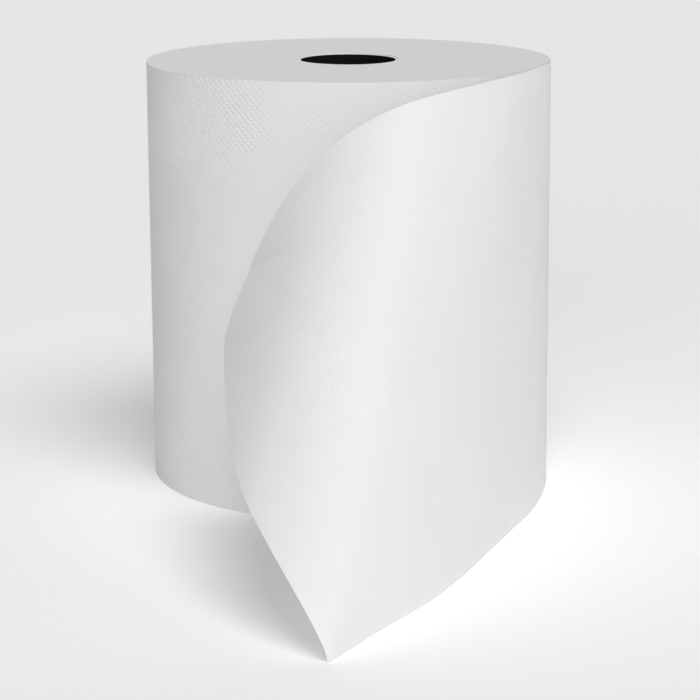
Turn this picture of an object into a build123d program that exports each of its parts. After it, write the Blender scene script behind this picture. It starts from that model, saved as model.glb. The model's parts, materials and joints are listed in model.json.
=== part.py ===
from build123d import *
import math
import os

# A wide paper towel roll that stands on its end, with its loose end pulled off to the front.
# The origin is the middle of the core's bore at the end that the roll stands on. +Z runs up
# the bore, and -Y is the side that the loose end comes to.

# The towel paper and the roll wound from it
WEB_WIDTH = 202.4          # cut width of the towel paper
ROLL_DIAMETER = 195.0      # over the wound turns
PAPER_THICKNESS = 0.4      # one turn, over its embossing
END_WANDER = 0.4           # how far the turns wander past the web's width at each end

# The paperboard core
CORE_BORE = 46.0
CORE_WALL = 1.5
CORE_RECESS = 0.5          # how far each end of the core lies below the paper's end

# The loose end, up to its cut edge
LEAVE_ANGLE = 3.0          # where it leaves the roll, in degrees from +X towards -Y
LIFT_ANGLE = 4.0           # how steeply it lifts off the turn below
SKEW_ANGLE = 0.8           # how far it runs off square, climbing
ROOT_LENGTH = 14.0         # the stretch before it shows, still inside the last turn
STATION_STEP = 36.6        # along the web, from one station of the two lists below to the next
CURL = [1.78, 0.33, 0.62, 0.21, 2.75, 2.03, 0.47, 0.34, 0.77]    # bend, 1 is as tight as the roll
LEAN = [0.0, 23.5, 40.5, 41.5, 37.0, 39.5, 35.0, 30.0, 24.0]     # of the fold lines, in degrees
FOLD_STEP = 2.0            # along the web, from one fold line to the next
EDGE_POINTS = 61           # points that shape the loose end along the web
CROSS_POINTS = 21          # points that shape it across the web
SHAPE_TOLERANCE = 0.02     # between those points and the smooth sheet

ROLL_RADIUS = ROLL_DIAMETER / 2
ROLL_HEIGHT = WEB_WIDTH + 2 * END_WANDER
CORE_RADIUS = CORE_BORE / 2 + CORE_WALL
LOOSE_LENGTH = STATION_STEP * (len(CURL) - 1)
UP = Vector(0, 0, 1)


def outward_at(degrees):
    """The direction from the roll's axis to a place on its wall."""
    turn = math.radians(degrees)
    return Vector(math.cos(turn), -math.sin(turn), 0)


def onward_at(degrees):
    """The direction in which the web runs round the wall at that place."""
    return outward_at(degrees + 90)


# Core


def make_core():
    """A plain tube of wound paperboard."""
    length = ROLL_HEIGHT - 2 * CORE_RECESS
    ring = Circle(CORE_RADIUS) - Circle(CORE_BORE / 2)
    return Pos(0, 0, CORE_RECESS) * extrude(ring, length)


# Wound turns


def pack_outline():
    """The last turn as four quarter arcs, each a little wider than the one before.

    They gain one paper thickness in a full turn, so the outline ends one step outside its own
    start. That step is where the loose end comes away.
    """
    gain = PAPER_THICKNESS / 4
    radius = ROLL_RADIUS - PAPER_THICKNESS + gain / 2
    start = outward_at(LEAVE_ANGLE) * (ROLL_RADIUS - PAPER_THICKNESS)
    arcs = []
    place = start
    for quarter in range(4):
        heading = onward_at(LEAVE_ANGLE + 90 * quarter)
        arc = JernArc(place, heading, radius + gain * quarter, -90)
        arcs.append(arc)
        place = arc @ 1
    return Wire(arcs + [Line(place, start)])


def make_pack():
    """All the wound turns as one closed body with the core's seat through it."""
    turns = extrude(make_face(pack_outline()), ROLL_HEIGHT)
    return turns - extrude(Circle(CORE_RADIUS), ROLL_HEIGHT)


# Loose end


def at_station(values, distance):
    """The listed value at a distance along the web, in line between its two stations."""
    place = distance / STATION_STEP
    station = min(max(int(place), 0), len(values) - 2)
    share = min(max(place - station, 0), 1)
    return values[station] + (values[station + 1] - values[station]) * share


def root_frame():
    """Where the loose end's top edge starts inside the last turn, with its two directions."""
    angle = LEAVE_ANGLE - math.degrees(ROOT_LENGTH / ROLL_RADIUS)
    lift = math.radians(LIFT_ANGLE)
    skew = math.radians(SKEW_ANGLE)
    radius = ROLL_RADIUS - PAPER_THICKNESS - ROOT_LENGTH * math.sin(lift)
    top = END_WANDER + WEB_WIDTH - ROOT_LENGTH * math.sin(skew)
    level = onward_at(angle) * math.cos(lift) + outward_at(angle) * math.sin(lift)
    along = level * math.cos(skew) + UP * math.sin(skew)
    across = UP * math.cos(skew) - level * math.sin(skew)
    return outward_at(angle) * radius + UP * top, along, across


def fold_lines():
    """The straight lines about which the flat paper bends, each with its own small turn.

    Paper doesn't stretch, so every bend is about a straight line that crosses the web. Each
    line is a tuple: its distance along the top edge, the tangent of its lean, its top end, and
    the web's directions along and across there.
    """
    place, along, across = root_frame()
    steps = round((ROOT_LENGTH + LOOSE_LENGTH) / FOLD_STEP)
    step = (ROOT_LENGTH + LOOSE_LENGTH) / steps
    lines = []
    for count in range(steps + 1):
        distance = count * step - ROOT_LENGTH
        lean = math.radians(at_station(LEAN, distance))
        lines.append((distance, math.tan(lean), place, along, across))
        middle = distance + step / 2
        curl = 1 if middle < 0 else at_station(CURL, middle)
        lean = math.radians(at_station(LEAN, middle))
        turn = math.degrees(curl * step / ROLL_RADIUS)
        fold = Axis((0, 0, 0), along * math.sin(lean) - across * math.cos(lean))
        place = place + along.rotate(fold, turn / 2) * step
        along = along.rotate(fold, turn)
        across = across.rotate(fold, turn)
    return lines


def row_of_points(lines, depth):
    """Evenly spaced points along the web at one depth below its top edge."""
    crossings = []
    for distance, slope, place, along, across in lines:
        run = depth * slope
        crossings.append((distance + run, place + along * run - across * depth))
    row = []
    after = 1
    for count in range(EDGE_POINTS):
        wanted = -ROOT_LENGTH + (ROOT_LENGTH + LOOSE_LENGTH) * count / (EDGE_POINTS - 1)
        while crossings[after][0] < wanted and after < len(crossings) - 1:
            after += 1
        (low, first), (high, second) = crossings[after - 1], crossings[after]
        row.append(first + (second - first) * ((wanted - low) / (high - low)))
    return row


def make_loose_end():
    """The free stretch of the web: an even, unstretched sheet with the thickness of the paper."""
    lines = fold_lines()
    depths = [WEB_WIDTH * count / (CROSS_POINTS - 1) for count in range(CROSS_POINTS)]
    points = [row_of_points(lines, depth) for depth in depths]
    inner = Face.make_surface_from_array_of_points(points, tol=SHAPE_TOLERANCE, min_deg=3, max_deg=3)
    return Solid.thicken(inner, PAPER_THICKNESS, normal_override=outward_at(LEAVE_ANGLE))


core = make_core()
towel_paper = make_pack() + make_loose_end()

os.makedirs("parts", exist_ok=True)
export_step(core, "parts/core.step")
export_step(towel_paper, "parts/towel_paper.step")
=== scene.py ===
import json
import math

import bpy
import numpy as np
from mathutils import Matrix, Vector


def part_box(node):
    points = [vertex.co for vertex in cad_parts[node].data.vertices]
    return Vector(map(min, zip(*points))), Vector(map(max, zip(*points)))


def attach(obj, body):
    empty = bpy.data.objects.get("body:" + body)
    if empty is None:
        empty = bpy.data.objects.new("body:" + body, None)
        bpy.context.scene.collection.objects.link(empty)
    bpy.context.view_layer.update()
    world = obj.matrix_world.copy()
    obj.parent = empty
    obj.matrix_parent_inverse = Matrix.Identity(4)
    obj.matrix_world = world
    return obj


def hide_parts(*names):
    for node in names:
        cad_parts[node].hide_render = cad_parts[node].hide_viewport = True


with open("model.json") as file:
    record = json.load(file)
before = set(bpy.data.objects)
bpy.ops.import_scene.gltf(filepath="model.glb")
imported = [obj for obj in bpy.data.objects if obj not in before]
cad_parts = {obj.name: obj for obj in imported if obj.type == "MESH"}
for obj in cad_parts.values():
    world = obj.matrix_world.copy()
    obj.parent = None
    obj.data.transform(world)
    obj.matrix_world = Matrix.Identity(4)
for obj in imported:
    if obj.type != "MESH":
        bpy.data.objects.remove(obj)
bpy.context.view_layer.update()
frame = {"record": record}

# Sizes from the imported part, in metres
MM = 0.001
CORE_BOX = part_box("core")
MOUNTS = {mount["name"]: mount for mount in frame["record"]["mounts"]}
CORE_BORE_RADIUS = MOUNTS["core_bore"]["dims"]["r_mm"] * MM
CORE_RADIUS = CORE_BOX[1][0]
CORE_BOTTOM = CORE_BOX[0][2]
CORE_TOP = CORE_BOX[1][2]
ROLL_RADIUS = 97.5 * MM
ROLL_HEIGHT = 203.2 * MM

# The web of paper and its loose end, as the part has them
WEB_WIDTH = 202.4 * MM
END_WANDER = 0.4 * MM
PAPER_THICKNESS = 0.4 * MM
LEAVE_ANGLE = math.radians(3.0)
LIFT_ANGLE = math.radians(4.0)
SKEW_ANGLE = math.radians(0.8)
STATION_STEP = 36.6 * MM
CURL = [1.78, 0.33, 0.62, 0.21, 2.75, 2.03, 0.47, 0.34, 0.77]
LEAN = [0.0, 23.5, 40.5, 41.5, 37.0, 39.5, 35.0, 30.0, 24.0]
LOOSE_LENGTH = STATION_STEP * (len(CURL) - 1)
FOLD_STEP = 0.5 * MM

# How the soft paper settles on the surface: its lower edge tucks in, the sheet bellies above it,
# and it has faint ripples. TUCK and BELLY are in millimetres at the stations.
SURFACE_GAP = 0.25 * MM
TUCK = [0.0, 0.0, 0.0, 2.4, 2.6, 0.6, 0.4, 3.4, -0.6]
TUCK_HEIGHT = 40 * MM
TUCK_POWER = 3
BELLY = [0.0, 0.2, 0.8, 2.2, 3.0, 3.0, 3.0, 2.6, 1.4]
BELLY_HEIGHT = 19 * MM
STATION_SMOOTHING = 8
RIPPLE_DEPTH = 0.25 * MM
RIPPLE_BUMPS = (6, 4)
RIPPLE_LAYERS = 4
RIPPLE_SEED = 81

# Faint creases in the flat web, in millimetres: start and end, each along and across the web,
# then the ridge's height, and how far it reaches to the left and to the right of its line
CREASES = [
    ((246.0, 111.5), (221.0, 107.0), -0.28, 2.6, 5.0),
    ((286.0, 55.5), (253.0, 45.0), 0.30, 3.0, 5.0),
    ((276.0, 66.0), (262.0, 62.0), 0.20, 2.4, 3.0),
    ((206.0, 131.0), (190.0, 127.0), 0.16, 2.4, 4.0),
]

# The facet between the top edge and a crease near the free corner, which stands out of the
# sheet; its line and its reach are in millimetres
FACET_START = (281.0, 226.0)
FACET_END = (212.0, 158.0)
FACET_RISE = 1.8 * MM
FACET_REACH = 7.0

# Embossing: diamonds between two sets of pressed lines at 45 degrees
HALF_DIAMOND = 1.6125 * MM
EMBOSS_DEPTH = 0.28 * MM
TURN_CELLS = 380
CELLS_ACROSS = round(WEB_WIDTH / HALF_DIAMOND)
CELLS_ALONG = round(LOOSE_LENGTH / HALF_DIAMOND)

# How strongly it is pressed, as shares of the full depth: at least the base, and more in each
# deeper area, given by its depth, then its middle and its reach along and across the grid
LOOSE_BASE = 0.06
LOOSE_AREAS = [(0.35, (0.84, 0.55), (0.06, 0.28))]
LOOSE_SEED = 11
WALL_BASE = 0.16
WALL_AREAS = [(1.05, (0.375, 0.9), (0.045, 0.17)), (0.8, (0.75, 0.5), (0.14, 1.5))]
WALL_SEED = 31
PATCH_BUMPS = (19, 11)
PATCH_LAYERS = 3
PATCH_STRENGTH = 0.35
WEAKEST_PRESSING = 0.04
STRONGEST_PRESSING = 1.5
UNEVENNESS = 0.12
UNEVENNESS_SEED_STEP = 50

# The wound ends, where the edges of the turns lie a little below the roll's end
END_RINGS = 40
SMOOTH_RIM = 3 * PAPER_THICKNESS
TURN_STEP = 0.09 * MM
SWELL_STEP = 0.06 * MM
SWELL_BUMPS = (5, 6)
SWELL_LAYERS = 2
SWELL_MOST = 1.5
TOP_SEED = 61
BOTTOM_SEED = 62

# The core's mesh and the seam of its inner winding strip
CORE_COLUMNS = 180
CORE_ROWS = 110
SEAM_CLIMB = 152 * MM
SEAM_HALF_WIDTH = 0.9 * MM
SEAM_DEPTH = 0.25 * MM

# Places in a mesh's list of materials: the wall or bore first, then the cut ends
FACE_SLOT = 0
CUT_SLOT = 1
SHARP_ANGLE = math.radians(40)

# Materials: how fine each noise is, per metre or for the crepe per diamond, how far the bumps
# stand out, and the darkest and lightest shade of each surface
TONE_SCALE = 22.0
FIBRE_SCALE = 2600.0
CREPE_SCALE = 3.2
CREPE_STRETCH = (1.0, 0.28, 1.0)
RING_SCALE = 1800.0
FLUFF_SCALE = 900.0
BOARD_SCALE = 700.0
LINE_WIDTH = 0.22
BUMP_DISTANCE = 0.2 * MM
FIBRE_DISTANCE = 0.1 * MM
LOOSE_GLOW = 0.6
GLOW_DEPTH = 1.5 * MM
PAPER_SHADES = ((0.80, 0.80, 0.79, 1), (0.84, 0.84, 0.83, 1))
EDGE_SHADES = ((0.70, 0.70, 0.695, 1), (0.80, 0.80, 0.795, 1))
# The bore's board is a dark inner ply, made near black as painted shade of the deep bore
BORE_PAINTED_SHADE = ((0.004, 0.004, 0.004, 1), (0.012, 0.012, 0.012, 1))
CUT_SHADES = ((0.7, 0.69, 0.67, 1), (0.8, 0.79, 0.77, 1))
FLOOR_SHADE = (0.95, 0.95, 0.95, 1)

# Stage. Each sun has its name, the direction it shines from, its strength, its spread and
# whether it casts shadows. The camera's values were worked out from the photograph.
FLOOR_HALF_SIZE = 20.0
WORLD_STRENGTH = 0.02
SUNS = [
    ("key", (0.17, -0.47, 0.87), 1.87, 0.7, True),
    ("back", (-0.25, 0.75, 0.6), 1.0, 0.3, False),
    ("front", (-0.17, -0.97, 0.17), 1.1, 0.7, True),
    ("side", (0.92, -0.34, 0.17), 0.62, 0.7, True),
]
CAMERA_DISTANCE = 1.1232
CAMERA_HEIGHT = 0.3274
CAMERA_PITCH = 0.2352
CAMERA_YAW = 0.0004
CAMERA_ROLL = -0.003
FOCAL_PIXELS = 2318.95
FRAME_PIXELS = 700
SENSOR_WIDTH = 36.0


# Smooth seeded noise


def noise_grid(shape, bumps, seed, wrap=False):
    """Smooth values from -1 to 1 over a grid, with the given count of bumps along each side."""
    rng = np.random.default_rng(seed)
    knots = rng.uniform(-1, 1, (bumps[0] + 1, bumps[1] + 1))
    if wrap:
        knots[-1] = knots[0]
    rows = np.linspace(0, bumps[0], shape[0])
    columns = np.linspace(0, bumps[1], shape[1])
    low_row = np.minimum(rows.astype(int), bumps[0] - 1)
    low_column = np.minimum(columns.astype(int), bumps[1] - 1)
    share_row = rows - low_row
    share_column = columns - low_column
    share_row = (share_row * share_row * (3 - 2 * share_row))[:, None]
    share_column = (share_column * share_column * (3 - 2 * share_column))[None]
    near = knots[low_row][:, low_column] * (1 - share_column)
    near = near + knots[low_row][:, low_column + 1] * share_column
    far = knots[low_row + 1][:, low_column] * (1 - share_column)
    far = far + knots[low_row + 1][:, low_column + 1] * share_column
    return near * (1 - share_row) + far * share_row


def layered_noise(shape, bumps, seed, layers, wrap=False):
    """Noise with finer and weaker layers on top."""
    total = np.zeros(shape)
    for layer in range(layers):
        finer = (bumps[0] * 2**layer, bumps[1] * 2**layer)
        total = total + noise_grid(shape, finer, seed + layer, wrap) / 2**layer
    return total


def emboss_heights(columns, rows, seed, base, areas, wrap=False):
    """Height of the paper's face over a grid of half diamonds.

    Points where the pressed lines cross are low and the pillows between them are high. The
    pressing is uneven: deeper in the areas given and flattened here and there, as on paper
    wound under tension.
    """
    crossing = (np.arange(columns + 1)[:, None] + np.arange(rows + 1)[None]) % 2 == 0
    shape = (columns + 1, rows + 1)
    share_along = np.linspace(0, 1, columns + 1)[:, None]
    share_across = np.linspace(0, 1, rows + 1)[None]
    deep = np.zeros(shape)
    for depth, middle, reach in areas:
        away_along = (share_along - middle[0]) / reach[0]
        away_across = (share_across - middle[1]) / reach[1]
        deep = deep + depth * np.exp(-(away_along**2) - away_across**2)
    patches = layered_noise(shape, PATCH_BUMPS, seed, PATCH_LAYERS, wrap)
    strength = base + deep + (PATCH_STRENGTH + deep) * patches
    strength = np.clip(strength, WEAKEST_PRESSING, STRONGEST_PRESSING)
    rng = np.random.default_rng(seed + UNEVENNESS_SEED_STEP)
    unevenness = UNEVENNESS * rng.uniform(-1, 1, shape)
    if wrap:
        unevenness[-1] = unevenness[0]
    return EMBOSS_DEPTH * strength * (np.where(crossing, -0.5, 0.5) + unevenness)


# Mesh building


def grid_numbers(start, rows, columns=None):
    """A function from a grid point to its vertex number; the grid closes after columns."""

    def number(i, j):
        if columns is not None:
            i = i % columns
        return start + i * rows + j

    return number


def mesh_object(name, points, faces, uvs=None, materials=(), slots=None, facets=0):
    """A mesh object from arrays, with one UV pair for each face corner.

    The first faces, as many as facets says, keep their flat facets; the rest are shaded smooth.
    """
    mesh = bpy.data.meshes.new(name)
    mesh.from_pydata([tuple(p) for p in points], [], faces)
    if uvs is not None:
        layer = mesh.uv_layers.new(name="web")
        flat = [value for face in uvs for corner in face for value in corner]
        layer.data.foreach_set("uv", flat)
    for material in materials:
        mesh.materials.append(material)
    if slots is not None:
        mesh.polygons.foreach_set("material_index", slots)
    # The flat facets come after the sharp edges, which would reset them
    mesh.set_sharp_from_angle(angle=SHARP_ANGLE)
    smooth = [number >= facets for number in range(len(faces))]
    mesh.polygons.foreach_set("use_smooth", smooth)
    mesh.update()
    mesh.validate()
    piece = bpy.data.objects.new(name, mesh)
    bpy.context.scene.collection.objects.link(piece)
    return piece


def web_uv(i, j):
    """The UV pair of a grid point; pressed lines cross where both values are whole."""
    return (i / 2, j / 2)


def diamond_faces(columns, rows, number, flip=False):
    """Triangles over a grid, each cell split along its pressed line, and their UV corners."""
    faces = []
    corners = []
    for i in range(columns):
        for j in range(rows):
            a, b, c, d = (i, j), (i + 1, j), (i + 1, j + 1), (i, j + 1)
            if (i + j) % 2 == 0:
                pair = [(a, b, c), (a, c, d)]
            else:
                pair = [(a, b, d), (b, c, d)]
            for triangle in pair:
                if flip:
                    triangle = triangle[::-1]
                faces.append(tuple(number(*corner) for corner in triangle))
                corners.append([web_uv(*corner) for corner in triangle])
    return faces, corners


# Loose end


def outward_at(angle):
    """The direction out of the roll at an angle of its turns."""
    return np.array([math.cos(angle), -math.sin(angle), 0.0])


def onward_at(angle):
    """The direction in which the turns run at an angle."""
    return np.array([-math.sin(angle), -math.cos(angle), 0.0])


def turned(vector, axis, angle):
    """The vector turned about an axis through the origin."""
    along = axis * (axis @ vector) * (1 - math.cos(angle))
    return vector * math.cos(angle) + np.cross(axis, vector) * math.sin(angle) + along


def fold_lines():
    """The straight lines about which the flat web bends, from where it leaves the roll.

    Returns arrays: distance along the top edge, tangent of the lean, top end, and the web's
    directions along and across.
    """
    stations = np.arange(len(CURL)) * STATION_STEP
    count = round(LOOSE_LENGTH / FOLD_STEP)
    step = LOOSE_LENGTH / count
    onward = onward_at(LEAVE_ANGLE)
    outward = outward_at(LEAVE_ANGLE)
    up = np.array([0.0, 0.0, 1.0])
    level = onward * math.cos(LIFT_ANGLE) + outward * math.sin(LIFT_ANGLE)
    along = level * math.cos(SKEW_ANGLE) + up * math.sin(SKEW_ANGLE)
    across = up * math.cos(SKEW_ANGLE) - level * math.sin(SKEW_ANGLE)
    place = outward * (ROLL_RADIUS - PAPER_THICKNESS / 2) + up * (END_WANDER + WEB_WIDTH)
    distances, slopes, places, alongs, acrosses = [], [], [], [], []
    for number in range(count + 1):
        distance = number * step
        distances.append(distance)
        slopes.append(math.tan(math.radians(np.interp(distance, stations, LEAN))))
        places.append(place)
        alongs.append(along)
        acrosses.append(across)
        middle = distance + step / 2
        lean = math.radians(np.interp(middle, stations, LEAN))
        turn = np.interp(middle, stations, CURL) * step / ROLL_RADIUS
        fold = along * math.sin(lean) - across * math.cos(lean)
        place = place + turned(along, fold, turn / 2) * step
        along = turned(along, fold, turn)
        across = turned(across, fold, turn)
    return tuple(np.array(values) for values in (distances, slopes, places, alongs, acrosses))


def loose_end_surface():
    """Points and outward normals of the web's middle over the grid of half diamonds."""
    distances, slopes, places, alongs, acrosses = fold_lines()
    facing = np.cross(acrosses, alongs)
    wanted = np.linspace(0, LOOSE_LENGTH, CELLS_ALONG + 1)
    points = np.zeros((CELLS_ALONG + 1, CELLS_ACROSS + 1, 3))
    normals = np.zeros_like(points)
    for row in range(CELLS_ACROSS + 1):
        depth = WEB_WIDTH * (1 - row / CELLS_ACROSS)
        run = depth * slopes
        ends = places + alongs * run[:, None] - acrosses * depth
        for axis in range(3):
            points[:, row, axis] = np.interp(wanted, distances + run, ends[:, axis])
            normals[:, row, axis] = np.interp(wanted, distances + run, facing[:, axis])
    normals /= np.linalg.norm(normals, axis=-1, keepdims=True)
    return points, normals


def smoothed(values, reach):
    """A running mean, taken twice, that keeps the ends."""
    kernel = np.ones(2 * reach + 1) / (2 * reach + 1)
    for _ in range(2):
        values = np.convolve(np.pad(values, reach, mode="edge"), kernel, "valid")
    return values


def at_stations(values):
    """The listed values, in millimetres at the stations, as a smooth curve over the columns."""
    stations = np.arange(len(values)) * STATION_STEP
    wanted = np.linspace(0, LOOSE_LENGTH, CELLS_ALONG + 1)
    return smoothed(np.interp(wanted, stations, values), STATION_SMOOTHING) * MM


def beside_line(start, end):
    """Distance to the left of a line in the flat web, and a strength that fades at its ends."""
    along = np.linspace(0, LOOSE_LENGTH, CELLS_ALONG + 1)[:, None] / MM - start[0]
    across = np.linspace(0, WEB_WIDTH, CELLS_ACROSS + 1)[None] / MM - start[1]
    run = np.subtract(end, start)
    length = np.hypot(*run)
    run = run / length
    share = (along * run[0] + across * run[1]) / length
    return along * run[1] - across * run[0], np.clip(1 - (2 * share - 1) ** 2, 0, 1)


def crease_heights():
    """How far the creases and the facet stand out of the sheet, over its grid."""
    side, fade = beside_line(FACET_START, FACET_END)
    total = FACET_RISE * fade * (1 - np.exp(-np.maximum(side, 0) / FACET_REACH))
    for start, end, height, left, right in CREASES:
        side, fade = beside_line(start, end)
        reach = np.where(side > 0, left, right)
        total = total + height * MM * fade * np.exp((1 - np.hypot(side, 1)) / reach)
    return total


def settle(points, normals):
    """Let the sheet rest on the surface, with its tuck, belly, ripples and creases."""
    height = np.linspace(0, WEB_WIDTH, CELLS_ACROSS + 1)[None]
    drop = np.maximum(points[:, :1, 2] - SURFACE_GAP, 0) * (1 - height / WEB_WIDTH)
    tuck = np.maximum(1 - height / TUCK_HEIGHT, 0) ** TUCK_POWER
    tuck = at_stations(TUCK)[:, None] * tuck
    rise = height / BELLY_HEIGHT
    belly = at_stations(BELLY)[:, None] * rise * np.exp(1 - rise)
    along = np.linspace(0, LOOSE_LENGTH, CELLS_ALONG + 1)[:, None]
    fade = np.minimum(along / STATION_STEP, 1)
    ripple = layered_noise(tuck.shape, RIPPLE_BUMPS, RIPPLE_SEED, RIPPLE_LAYERS)
    ripple = RIPPLE_DEPTH * fade * ripple
    moved = points + normals * (belly - tuck + ripple + crease_heights())[..., None]
    moved[..., 2] -= drop
    return moved


def make_loose_end(material):
    """The free stretch of the web as a closed thin sheet with its embossing on both faces."""
    points, normals = loose_end_surface()
    points = settle(points, normals)
    heights = emboss_heights(CELLS_ALONG, CELLS_ACROSS, LOOSE_SEED, LOOSE_BASE, LOOSE_AREAS)
    outer = points + normals * (PAPER_THICKNESS / 2 + heights)[..., None]
    inner = points + normals * (heights - PAPER_THICKNESS / 2)[..., None]
    rows = CELLS_ACROSS + 1
    outer_number = grid_numbers(0, rows)
    inner_number = grid_numbers((CELLS_ALONG + 1) * rows, rows)
    faces, corners = diamond_faces(CELLS_ALONG, CELLS_ACROSS, outer_number, flip=True)
    more_faces, more_corners = diamond_faces(CELLS_ALONG, CELLS_ACROSS, inner_number)
    faces += more_faces
    corners += more_corners
    embossed = len(faces)
    rim = [(i, 0) for i in range(CELLS_ALONG)]
    rim += [(CELLS_ALONG, j) for j in range(CELLS_ACROSS)]
    rim += [(i, CELLS_ACROSS) for i in range(CELLS_ALONG, 0, -1)]
    rim += [(0, j) for j in range(CELLS_ACROSS, 0, -1)]
    for here, there in zip(rim, rim[1:] + rim[:1]):
        outer_pair = (outer_number(*here), outer_number(*there))
        inner_pair = (inner_number(*there), inner_number(*here))
        faces.append(outer_pair + inner_pair)
        near, far = web_uv(*here), web_uv(*there)
        corners.append([near, far, far, near])
    vertices = np.concatenate([outer.reshape(-1, 3), inner.reshape(-1, 3)])
    vertices[:, 2] = np.maximum(vertices[:, 2], 0.0)
    return mesh_object("loose_end", vertices, faces, corners, [material], facets=embossed)


# Wound turns


def end_depths(ring_radii, columns, seed):
    """How far each turn's edge lies below the roll's end, over angle and radius."""
    rng = np.random.default_rng(seed)
    rings = rng.uniform(0, 1, len(ring_radii)) * TURN_STEP
    shape = (columns + 1, len(ring_radii))
    swell = layered_noise(shape, SWELL_BUMPS, seed, SWELL_LAYERS, wrap=True)[:-1]
    return rings[None] + (swell + SWELL_MOST) * SWELL_STEP


def make_wound_turns(paper, edges):
    """The roll: its embossed wall, both ends with the turns' edges, and the seat of the core."""
    columns = TURN_CELLS
    rows = CELLS_ACROSS
    share = np.arange(columns + 1) / columns
    angles = LEAVE_ANGLE + 2 * math.pi * share
    radii = ROLL_RADIUS - PAPER_THICKNESS * (1 - share)
    heights = emboss_heights(columns, rows, WALL_SEED, WALL_BASE, WALL_AREAS, wrap=True)
    heights[:, [0, rows]] = 0
    radius = radii[:, None] + heights
    level = np.linspace(0, ROLL_HEIGHT, rows + 1)[None] + 0 * radius
    x = radius * np.cos(angles)[:, None]
    y = -radius * np.sin(angles)[:, None]
    vertices = list(np.stack([x, y, level], -1).reshape(-1, 3))
    wall_number = grid_numbers(0, rows + 1)
    faces, corners = diamond_faces(columns, rows, wall_number, flip=True)
    embossed = len(faces)

    # Both ends: rings of turns, and a last ring of faces out to the wall's edge
    ring_radii = np.linspace(CORE_RADIUS, ROLL_RADIUS - SMOOTH_RIM, END_RINGS)
    last = END_RINGS - 1
    ring_numbers = []
    for base, sign, edge_row, seed in (
        (ROLL_HEIGHT, 1, rows, TOP_SEED),
        (0.0, -1, 0, BOTTOM_SEED),
    ):
        ring_number = grid_numbers(len(vertices), END_RINGS, columns)
        ring_numbers.append(ring_number)
        depths = end_depths(ring_radii, columns, seed)
        for i in range(columns):
            for k, ring in enumerate(ring_radii):
                x, y = ring * math.cos(angles[i]), -ring * math.sin(angles[i])
                vertices.append(np.array([x, y, base - sign * depths[i, k]]))
        for i in range(columns):
            for k in range(last):
                here = (ring_number(i, k), ring_number(i, k + 1))
                there = (ring_number(i + 1, k + 1), ring_number(i + 1, k))
                quad = here + there
                faces.append(quad[::-1] if sign > 0 else quad)
            inner = (ring_number(i + 1, last), ring_number(i, last))
            outer = (wall_number(i, edge_row), wall_number(i + 1, edge_row))
            if i == columns - 1:
                outer += (wall_number(0, edge_row),)
            polygon = inner + outer
            faces.append(polygon[::-1] if sign > 0 else polygon)

    # The seat of the core
    top_number, bottom_number = ring_numbers
    for i in range(columns):
        here = (top_number(i, 0), bottom_number(i, 0))
        there = (bottom_number(i + 1, 0), top_number(i + 1, 0))
        faces.append(here + there)
    corners += [[(0.0, 0.0)] * len(face) for face in faces[embossed:]]

    # The step of one paper's thickness between the last turn and the one under it
    for j in range(rows):
        last_turn = (wall_number(columns, j), wall_number(columns, j + 1))
        turn_under = (wall_number(0, j + 1), wall_number(0, j))
        faces.append(last_turn + turn_under)
        low, high = web_uv(0, j), web_uv(0, j + 1)
        corners.append([low, high, high, low])
    slots = [FACE_SLOT] * embossed + [CUT_SLOT] * (len(faces) - embossed)
    return mesh_object("wound_turns", vertices, faces, corners, [paper, edges], slots, embossed)


# Core


def make_core(board):
    """The paperboard tube with the open seam of its inner winding strip."""
    columns, rows = CORE_COLUMNS, CORE_ROWS
    seam_slope = math.atan(SEAM_CLIMB / (2 * math.pi * CORE_BORE_RADIUS))
    angles = np.arange(columns) * 2 * math.pi / columns
    vertices = []
    for angle in angles:
        for level in np.linspace(CORE_BOTTOM, CORE_TOP, rows + 1):
            turn = (level / SEAM_CLIMB - angle / (2 * math.pi)) % 1.0
            away = min(turn, 1 - turn) * SEAM_CLIMB * math.cos(seam_slope)
            groove = SEAM_DEPTH * max(0.0, 1 - away / SEAM_HALF_WIDTH)
            radius = CORE_BORE_RADIUS + groove
            vertices.append((radius * math.cos(angle), radius * math.sin(angle), level))
    inside = grid_numbers(0, rows + 1, columns)
    outside = grid_numbers(len(vertices), 2, columns)
    for angle in angles:
        x, y = CORE_RADIUS * math.cos(angle), CORE_RADIUS * math.sin(angle)
        vertices += [(x, y, CORE_BOTTOM), (x, y, CORE_TOP)]
    faces = []
    slots = []
    for i in range(columns):
        for j in range(rows):
            here = (inside(i, j), inside(i, j + 1))
            there = (inside(i + 1, j + 1), inside(i + 1, j))
            faces.append(here + there)
            slots.append(FACE_SLOT)
        faces.append((outside(i, 0), outside(i + 1, 0), outside(i + 1, 1), outside(i, 1)))
        faces.append((inside(i, rows), outside(i, 1), outside(i + 1, 1), inside(i + 1, rows)))
        faces.append((inside(i + 1, 0), outside(i + 1, 0), outside(i, 0), inside(i, 0)))
        slots += [CUT_SLOT] * 3
    return mesh_object("core_tube", vertices, faces, None, board, slots)


# Materials


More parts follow.
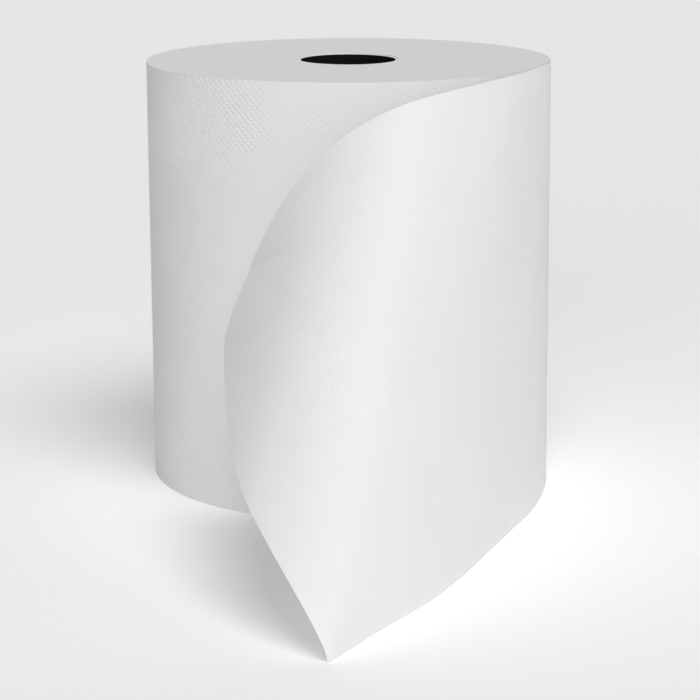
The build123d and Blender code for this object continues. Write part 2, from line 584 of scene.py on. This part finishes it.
class Nodes:
    """A short way to add nodes to a material and join them."""

    def __init__(self, name, roughness, specular):
        self.material = bpy.data.materials.new(name)
        self.material.use_nodes = True
        self.tree = self.material.node_tree
        self.shader = self.tree.nodes["Principled BSDF"]
        self.set("Roughness", roughness)
        self.set("Specular IOR Level", specular)

    def set(self, socket, value):
        """Give one of the shader's own sockets a constant."""
        self.shader.inputs[socket].default_value = value

    def link(self, output, socket):
        """Join an output to one of the shader's sockets."""
        self.tree.links.new(output, self.shader.inputs[socket])

    def add(self, kind, inputs=None, **settings):
        """Add a node; an input is a constant or another node's output."""
        node = self.tree.nodes.new(kind)
        for key, value in settings.items():
            setattr(node, key, value)
        for key, value in (inputs or {}).items():
            if hasattr(value, "is_linked"):
                self.tree.links.new(value, node.inputs[key])
            else:
                node.inputs[key].default_value = value
        return node

    def place(self):
        """The point's place on the object, in metres."""
        return self.add("ShaderNodeTexCoord").outputs["Object"]

    def math(self, operation, first, second=0.0):
        inputs = {0: first, 1: second}
        return self.add("ShaderNodeMath", inputs, operation=operation).outputs[0]

    def scaled(self, vector, factors):
        """The vector with each part multiplied by its factor."""
        inputs = {0: vector, 1: factors}
        return self.add("ShaderNodeVectorMath", inputs, operation="MULTIPLY").outputs[0]

    def ramp(self, value, low, high, start, end, **settings):
        """The value from low to high, turned into a value from start to end."""
        inputs = {0: value, 1: low, 2: high, 3: start, 4: end}
        return self.add("ShaderNodeMapRange", inputs, **settings).outputs[0]

    def noise(self, scale, detail, **where):
        """Noise over a vector, or with W over a number."""
        settings = {"noise_dimensions": "1D"} if "W" in where else {}
        inputs = {**where, "Scale": scale, "Detail": detail}
        return self.add("ShaderNodeTexNoise", inputs, **settings).outputs[0]

    def bump(self, height, strength, distance, under=None):
        """A bump, on top of the one under it where there is one."""
        inputs = {"Strength": strength, "Distance": distance, "Height": height}
        if under is not None:
            inputs["Normal"] = under
        return self.add("ShaderNodeBump", inputs).outputs[0]

    def colour(self, share, first, second):
        """Colour the surface from the first grey to the second, by a share."""
        inputs = {0: share, 1: first, 2: second}
        self.link(self.add("ShaderNodeMixRGB", inputs).outputs[0], "Base Color")


def paper_material(name, glow):
    """White towel paper: pressed diamonds, fine crepe and fibres, with a soft uneven tone.

    The glow is the share of light that passes into the paper, as a single loose layer lets it.
    """
    n = Nodes(name, roughness=0.95, specular=0.08)
    n.set("Subsurface Weight", glow)
    n.set("Subsurface Radius", (1, 1, 1))
    n.set("Subsurface Scale", GLOW_DEPTH)
    web = n.add("ShaderNodeUVMap", uv_map="web").outputs[0]
    split = n.add("ShaderNodeSeparateXYZ", {0: web}).outputs
    ridges = []
    for operation in ("ADD", "SUBTRACT"):
        diagonal = n.math(operation, split[0], split[1])
        near = n.math("PINGPONG", diagonal, 0.5)
        ridges.append(n.ramp(near, 0.0, LINE_WIDTH, 0.0, 1.0, interpolation_type="SMOOTHSTEP"))
    place = n.place()
    patches = n.noise(TONE_SCALE, 3.0, Vector=place)
    pressed = n.ramp(patches, 0.35, 0.65, 0.25, 1.0)
    diamonds = n.math("MULTIPLY", n.math("MINIMUM", *ridges), pressed)
    crepe = n.noise(CREPE_SCALE, 4.0, Vector=n.scaled(web, CREPE_STRETCH))
    fibres = n.noise(FIBRE_SCALE, 2.0, Vector=place)
    first = n.bump(diamonds, 0.03, BUMP_DISTANCE)
    second = n.bump(crepe, 0.3, BUMP_DISTANCE, first)
    n.link(n.bump(fibres, 0.2, FIBRE_DISTANCE, second), "Normal")
    n.colour(patches, *PAPER_SHADES)
    return n.material


def edge_material():
    """The cut edges of the wound turns, seen as very fine rings."""
    n = Nodes("turn_edges", roughness=0.95, specular=0.15)
    place = n.place()
    flat = n.scaled(place, (1.0, 1.0, 0.0))
    radius = n.add("ShaderNodeVectorMath", {0: flat}, operation="LENGTH").outputs["Value"]
    rings = n.noise(1.0, 2.0, W=n.math("MULTIPLY", radius, RING_SCALE))
    fluff = n.noise(FLUFF_SCALE, 3.0, Vector=place)
    first = n.bump(rings, 0.5, BUMP_DISTANCE)
    n.link(n.bump(fluff, 0.4, BUMP_DISTANCE, first), "Normal")
    n.colour(rings, *EDGE_SHADES)
    return n.material


def board_material(name, shades):
    """Paperboard with faint fibres."""
    n = Nodes(name, roughness=0.9, specular=0.1)
    fibres = n.noise(BOARD_SCALE, 4.0, Vector=n.place())
    n.link(n.bump(fibres, 0.3, BUMP_DISTANCE), "Normal")
    n.colour(fibres, *shades)
    return n.material


# Stage: floor, lights and camera


def make_floor():
    """A wide pale floor that fills the view behind the object."""
    size = FLOOR_HALF_SIZE
    points = [(-size, -size, 0), (size, -size, 0), (size, size, 0), (-size, size, 0)]
    n = Nodes("pale_floor", roughness=1.0, specular=0.0)
    n.set("Base Color", FLOOR_SHADE)
    floor = mesh_object("floor", points, [(0, 1, 2, 3)], None, [n.material])


def make_sun(name, direction, strength, spread, shadow):
    """A large soft light that shines evenly over everything, from the direction given."""
    light = bpy.data.lights.new(name, "SUN")
    light.energy = strength
    light.angle = spread
    light.use_shadow = shadow
    item = bpy.data.objects.new(name, light)
    bpy.context.scene.collection.objects.link(item)
    item.rotation_euler = Vector(direction).to_track_quat("Z", "Y").to_euler()


def make_world():
    """A very weak white light from all around."""
    world = bpy.data.worlds.new("studio")
    world.use_nodes = True
    background = world.node_tree.nodes["Background"]
    background.inputs["Color"].default_value = (1, 1, 1, 1)
    background.inputs["Strength"].default_value = WORLD_STRENGTH
    bpy.context.scene.world = world


def make_camera():
    """The photograph's view: a long lens, in front of the roll and a little above it."""
    level = np.array([math.sin(CAMERA_YAW), math.cos(CAMERA_YAW), 0.0])
    down = np.array([0.0, 0.0, -1.0])
    forward = level * math.cos(CAMERA_PITCH) + down * math.sin(CAMERA_PITCH)
    right = np.array([math.cos(CAMERA_YAW), -math.sin(CAMERA_YAW), 0.0])
    up = np.cross(right, forward)
    cosine, sine = math.cos(CAMERA_ROLL), math.sin(CAMERA_ROLL)
    right, up = right * cosine + up * sine, up * cosine - right * sine
    camera = bpy.data.cameras.new("camera")
    camera.sensor_fit = "HORIZONTAL"
    camera.sensor_width = SENSOR_WIDTH
    camera.lens = FOCAL_PIXELS / FRAME_PIXELS * SENSOR_WIDTH
    item = bpy.data.objects.new("camera", camera)
    bpy.context.scene.collection.objects.link(item)
    matrix = Matrix.Identity(4)
    for column, axis in enumerate((right, up, -forward)):
        for row in range(3):
            matrix[row][column] = axis[row]
    matrix.translation = Vector((0, -CAMERA_DISTANCE, CAMERA_HEIGHT))
    item.matrix_world = matrix
    bpy.context.scene.camera = item


make_camera()
make_floor()
make_world()
for sun in SUNS:
    make_sun(*sun)
bpy.context.scene.view_settings.view_transform = "Standard"

wound_paper = paper_material("embossed_paper", glow=0.0)
loose_paper = paper_material("loose_paper", glow=LOOSE_GLOW)
edges = edge_material()
# The bore's board: a dark inner ply darkened to near black, which is painted shade of the deep
# bore
bore_board_painted_shade = board_material("bore_board_painted_shade", BORE_PAINTED_SHADE)
cut_board = board_material("cut_board", CUT_SHADES)

turns = make_wound_turns(wound_paper, edges)
loose_end = make_loose_end(loose_paper)
core_tube = make_core([bore_board_painted_shade, cut_board])
for piece, node, slot in (
    (turns, "towel_paper", "towel_paper"),
    (loose_end, "towel_paper", "towel_paper"),
    (core_tube, "core", "core_board"),
):
    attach(piece, "root")
    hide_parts(node)
